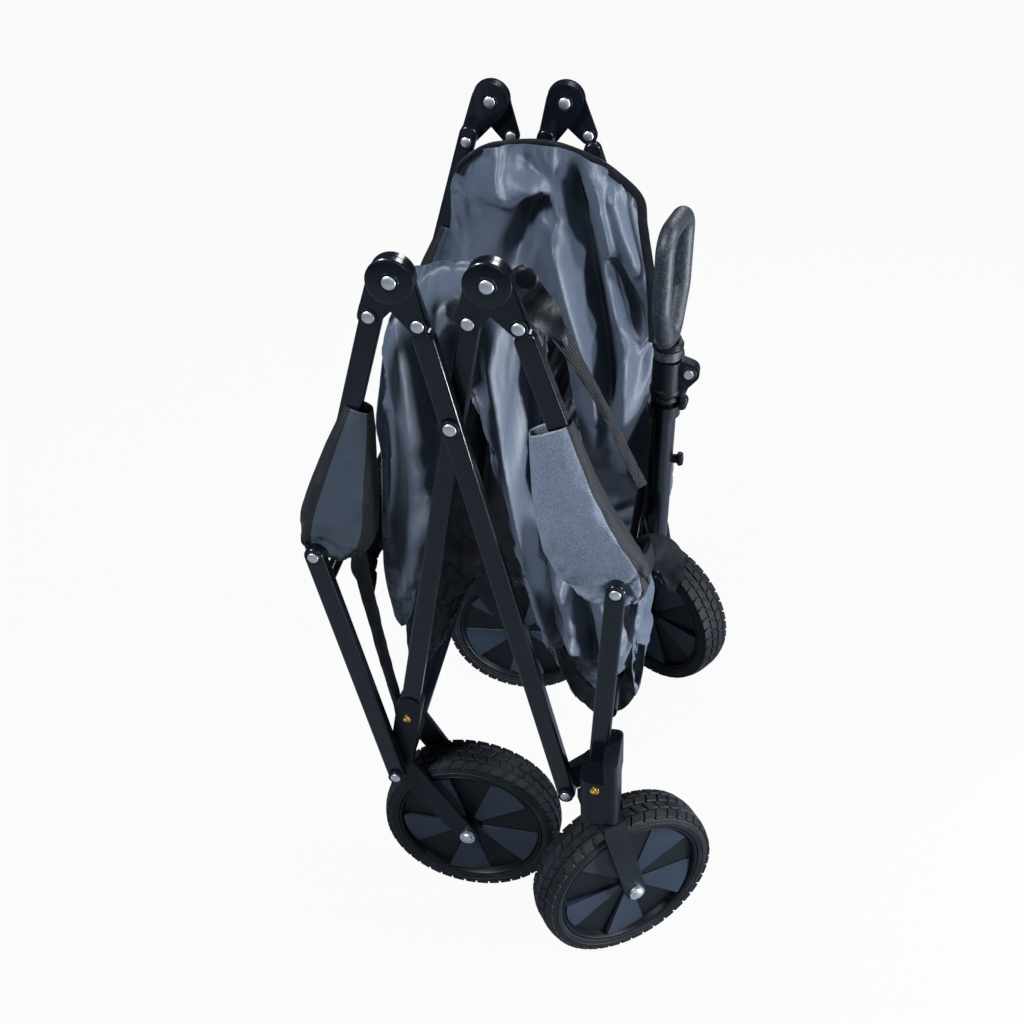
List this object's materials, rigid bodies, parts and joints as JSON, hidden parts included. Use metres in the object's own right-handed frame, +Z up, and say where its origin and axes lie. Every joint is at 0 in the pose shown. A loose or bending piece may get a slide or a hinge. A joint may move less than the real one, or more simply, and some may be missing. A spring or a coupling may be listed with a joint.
{
  "type": "folding wagon",
  "caption": "Folding pull wagon standing folded: scissor-linkage side frames, cloth tub, fixed rear wheels, swivelling front casters and a tilting telescopic handle.",
  "frame": {"origin": "on the ground, under the middle of the folded wagon's outline", "axes": "+X from the rear wheels towards the handle, +Y to the left side, +Z up"},
  "size_m": [0.3804, 0.5536, 0.7628],
  "materials": {
    "bar_paint": "satin",
    "black_plastic": "matte",
    "axle_steel": "satin",
    "wheel_plastic": "satin",
    "tyre_rubber": "matte",
    "cloth": "matte",
    "grip_rubber": "matte"
  },
  "bodies": {
    "rear_frame": {"posts_rear": "bar_paint", "crossbar_rear": "bar_paint", "cloth_rear": "cloth"},
    "inner_diagonals": {"diagonal_inner": "bar_paint", "bracket_rear": "black_plastic", "cross_tube": "bar_paint", "axles_rear": "axle_steel"},
    "outer_diagonals": {"diagonal_outer": "bar_paint"},
    "front_frame": {"posts_front": "bar_paint", "crossbar_front": "bar_paint", "housing_front": "black_plastic", "handle_bracket": "bar_paint"},
    "rear_rails": {"rail_rear": "bar_paint", "sleeve_rear": "cloth"},
    "front_rails": {"rail_front": "bar_paint", "sleeve_front": "cloth"},
    "wheel_body_rear_left": {"wheel_rear_left": "wheel_plastic", "tyre_rear_left": "tyre_rubber"},
    "wheel_body_rear_right": {"wheel_rear_right": "wheel_plastic", "tyre_rear_right": "tyre_rubber"},
    "caster_left": {"fork_left": "black_plastic", "axle_front_left": "axle_steel"},
    "caster_right": {"fork_right": "black_plastic", "axle_front_right": "axle_steel"},
    "wheel_body_front_left": {"wheel_front_left": "wheel_plastic", "tyre_front_left": "tyre_rubber"},
    "wheel_body_front_right": {"wheel_front_right": "wheel_plastic", "tyre_front_right": "tyre_rubber"},
    "handle_lower": {"handle_stem": "bar_paint"},
    "handle_upper": {"handle_tube": "bar_paint", "handle_clamp": "black_plastic", "handle_grip": "grip_rubber"},
    "cloth_middle": {"cloth_walls": "cloth", "cloth_floor": "cloth"},
    "cloth_ahead": {"cloth_front": "cloth"}
  },
  "joints": [
    {"name": "fold", "type": "hinge", "parent": "rear_frame", "child": "inner_diagonals", "pos_m": [-0.13167, 0, 0.193], "axis": [0, 1, 0], "range_deg": [0, 45.08]},
    {"name": "diagonal_cross", "type": "hinge", "parent": "inner_diagonals", "child": "outer_diagonals", "pos_m": [-0.045, 0, 0.6152], "axis": [0, 1, 0], "range_deg": [-90.26, 0]},
    {"name": "front_corner", "type": "hinge", "parent": "outer_diagonals", "child": "front_frame", "pos_m": [0.04167, 0, 0.193], "axis": [0, 1, 0], "range_deg": [0, 45.18]},
    {"name": "rear_rail_turn", "type": "hinge", "parent": "rear_frame", "child": "rear_rails", "pos_m": [-0.18116, 0, 0.4685], "axis": [0, 1, 0], "range_deg": [0, 65.36]},
    {"name": "front_rail_turn", "type": "hinge", "parent": "front_frame", "child": "front_rails", "pos_m": [0.09116, 0, 0.4685], "axis": [0, 1, 0], "range_deg": [-65.36, 0]},
    {"name": "cloth_middle_shift", "type": "slide", "parent": "rear_frame", "child": "cloth_middle", "axis": [0.7381, 0, -0.6747], "range_m": [0, 0.3715]},
    {"name": "cloth_ahead_shift", "type": "slide", "parent": "cloth_middle", "child": "cloth_ahead", "axis": [0.7381, 0, 0.6747], "range_m": [0, 0.3715]},
    {"name": "wheel_rear_left_spin", "type": "hinge", "parent": "inner_diagonals", "child": "wheel_body_rear_left", "pos_m": [-0.067, 0.156, 0.0943], "axis": [0, 1, 0], "continuous": true},
    {"name": "wheel_rear_right_spin", "type": "hinge", "parent": "inner_diagonals", "child": "wheel_body_rear_right", "pos_m": [-0.067, -0.156, 0.0943], "axis": [0, 1, 0], "continuous": true},
    {"name": "caster_left_swivel", "type": "hinge", "parent": "front_frame", "child": "caster_left", "pos_m": [0.079, 0.222, 0.2], "axis": [0, 0, 1], "range_deg": [-55, 40]},
    {"name": "caster_right_swivel", "type": "hinge", "parent": "front_frame", "child": "caster_right", "pos_m": [0.079, -0.222, 0.2], "axis": [0, 0, 1], "range_deg": [-40, 55]},
    {"name": "wheel_front_left_spin", "type": "hinge", "parent": "caster_left", "child": "wheel_body_front_left", "pos_m": [0.09866, 0.20823, 0.0943], "axis": [0.5736, 0.8192, 0], "continuous": true},
    {"name": "wheel_front_right_spin", "type": "hinge", "parent": "caster_right", "child": "wheel_body_front_right", "pos_m": [0.09866, -0.20823, 0.0943], "axis": [-0.5736, 0.8192, 0], "continuous": true},
    {"name": "handle_tilt", "type": "hinge", "parent": "front_frame", "child": "handle_lower", "pos_m": [0.108, 0, 0.318], "axis": [0, 1, 0], "range_deg": [0, 100]},
    {"name": "handle_extend", "type": "slide", "parent": "handle_lower", "child": "handle_upper", "axis": [0.0332, 0, 0.9995], "range_m": [0, 0.13]}
  ],
  "couplings": [
    {"joint": "diagonal_cross", "follows": "fold", "ratio": -2},
    {"joint": "front_corner", "follows": "fold", "ratio": 1},
    {"joint": "rear_rail_turn", "follows": "fold", "ratio": 1.4476},
    {"joint": "front_rail_turn", "follows": "fold", "ratio": -1.4476},
    {"joint": "cloth_middle_shift", "follows": "fold", "m_per_rad": 0.471},
    {"joint": "cloth_ahead_shift", "follows": "fold", "m_per_rad": 0.471}
  ]
}
